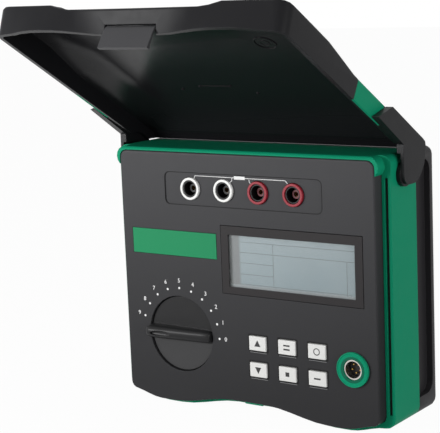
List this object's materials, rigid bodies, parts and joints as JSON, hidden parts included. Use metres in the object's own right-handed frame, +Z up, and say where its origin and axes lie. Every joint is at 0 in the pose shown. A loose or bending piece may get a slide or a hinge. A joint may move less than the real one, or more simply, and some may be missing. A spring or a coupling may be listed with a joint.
{
  "type": "digital ohmmeter",
  "caption": "Portable digital low-resistance meter: a case standing on its edge, with a hinged lid open over a panel of jacks, display, rotary selector, keys and sensor socket.",
  "frame": {"origin": "under the middle of the open instrument's outline, at the level of the two flats it stands on", "axes": "+X to the right along the panel, +Y from the panel back through the case, +Z up along the panel's height"},
  "size_m": [0.231, 0.1914, 0.2895],
  "materials": {
    "black_shell": "satin black moulding",
    "black_panel": "fine matt black",
    "green_shell": "satin green moulding",
    "plate_green": "matt green, bare",
    "white_ring": "smooth white",
    "red_ring": "smooth red",
    "inner_black": "matt black",
    "brass": "turned",
    "nickel": "plated",
    "steel": "plated",
    "key_grey": "matt light grey",
    "lcd_grey": "grey display glass",
    "clear": "clear",
    "board_green": "board laminate",
    "rubber": "soft",
    "cell_wrap": "printed wrap, left plain"
  },
  "bodies": {
    "case": {"back_case": "black_shell", "battery_1": "cell_wrap", "battery_2": "cell_wrap", "battery_3": "cell_wrap", "battery_4": "cell_wrap", "battery_5": "cell_wrap", "battery_6": "cell_wrap", "battery_door": "black_shell", "battery_door_screw_1": "steel", "battery_door_screw_2": "steel", "battery_holder": "inner_black", "board_screw_1": "steel", "board_screw_2": "steel", "board_screw_3": "steel", "board_screw_4": "steel", "case_screw_1": "steel", "case_screw_2": "steel", "case_screw_3": "steel", "case_screw_4": "steel", "display_frame": "black_panel", "display_window": "clear", "front_panel": "black_panel", "hinge_pin_left": "steel", "hinge_pin_right": "steel", "jack_contact_1": "brass", "jack_contact_2": "brass", "jack_contact_3": "brass", "jack_contact_4": "brass", "jack_cup_1": "inner_black", "jack_cup_2": "inner_black", "jack_cup_3": "inner_black", "jack_cup_4": "inner_black", "jack_ring_1": "white_ring", "jack_ring_2": "white_ring", "jack_ring_3": "red_ring", "jack_ring_4": "red_ring", "key_board": "board_green", "lcd_panel": "lcd_grey", "main_board": "board_green", "middle_frame": "green_shell", "name_plate": "plate_green", "rim_seal_left": "rubber", "rim_seal_right": "rubber", "rotary_switch": "inner_black", "sensor_insert": "inner_black", "sensor_ring": "green_shell", "sensor_shell": "nickel"},
    "lid": {"lid_shell": "black_shell", "lid_band": "green_shell", "latch_pin": "steel"},
    "latch": {"latch_flap": "black_shell"},
    "selector": {"selector_knob": "black_shell", "selector_shaft": "steel"},
    "key_1_body": {"key_1": "key_grey"},
    "key_2_body": {"key_2": "key_grey"},
    "key_3_body": {"key_3": "key_grey"},
    "key_4_body": {"key_4": "key_grey"},
    "key_5_body": {"key_5": "key_grey"},
    "key_6_body": {"key_6": "key_grey"}
  },
  "joints": [
    {"name": "lid_hinge", "type": "hinge", "parent": "case", "child": "lid", "pos_m": [0, 0.04798, 0.1731], "axis": [1, 0, 0], "range_deg": [0, 120.7]},
    {"name": "latch_pivot", "type": "hinge", "parent": "lid", "child": "latch", "pos_m": [0, -0.08568, 0.2741], "axis": [-1, 0, 0], "range_deg": [0, 45]},
    {"name": "selector_turn", "type": "hinge", "parent": "case", "child": "selector", "pos_m": [-0.0554, 0.02398, 0.0539], "axis": [0, -1, 0], "range_deg": [0, 162]},
    {"name": "key_1_press", "type": "slide", "parent": "case", "child": "key_1_body", "axis": [0, 1, 0], "range_m": [0, 0.0012], "stiffness_N_per_m": 1000},
    {"name": "key_2_press", "type": "slide", "parent": "case", "child": "key_2_body", "axis": [0, 1, 0], "range_m": [0, 0.0012], "stiffness_N_per_m": 1000},
    {"name": "key_3_press", "type": "slide", "parent": "case", "child": "key_3_body", "axis": [0, 1, 0], "range_m": [0, 0.0012], "stiffness_N_per_m": 1000},
    {"name": "key_4_press", "type": "slide", "parent": "case", "child": "key_4_body", "axis": [0, 1, 0], "range_m": [0, 0.0012], "stiffness_N_per_m": 1000},
    {"name": "key_5_press", "type": "slide", "parent": "case", "child": "key_5_body", "axis": [0, 1, 0], "range_m": [0, 0.0012], "stiffness_N_per_m": 1000},
    {"name": "key_6_press", "type": "slide", "parent": "case", "child": "key_6_body", "axis": [0, 1, 0], "range_m": [0, 0.0012], "stiffness_N_per_m": 1000}
  ]
}
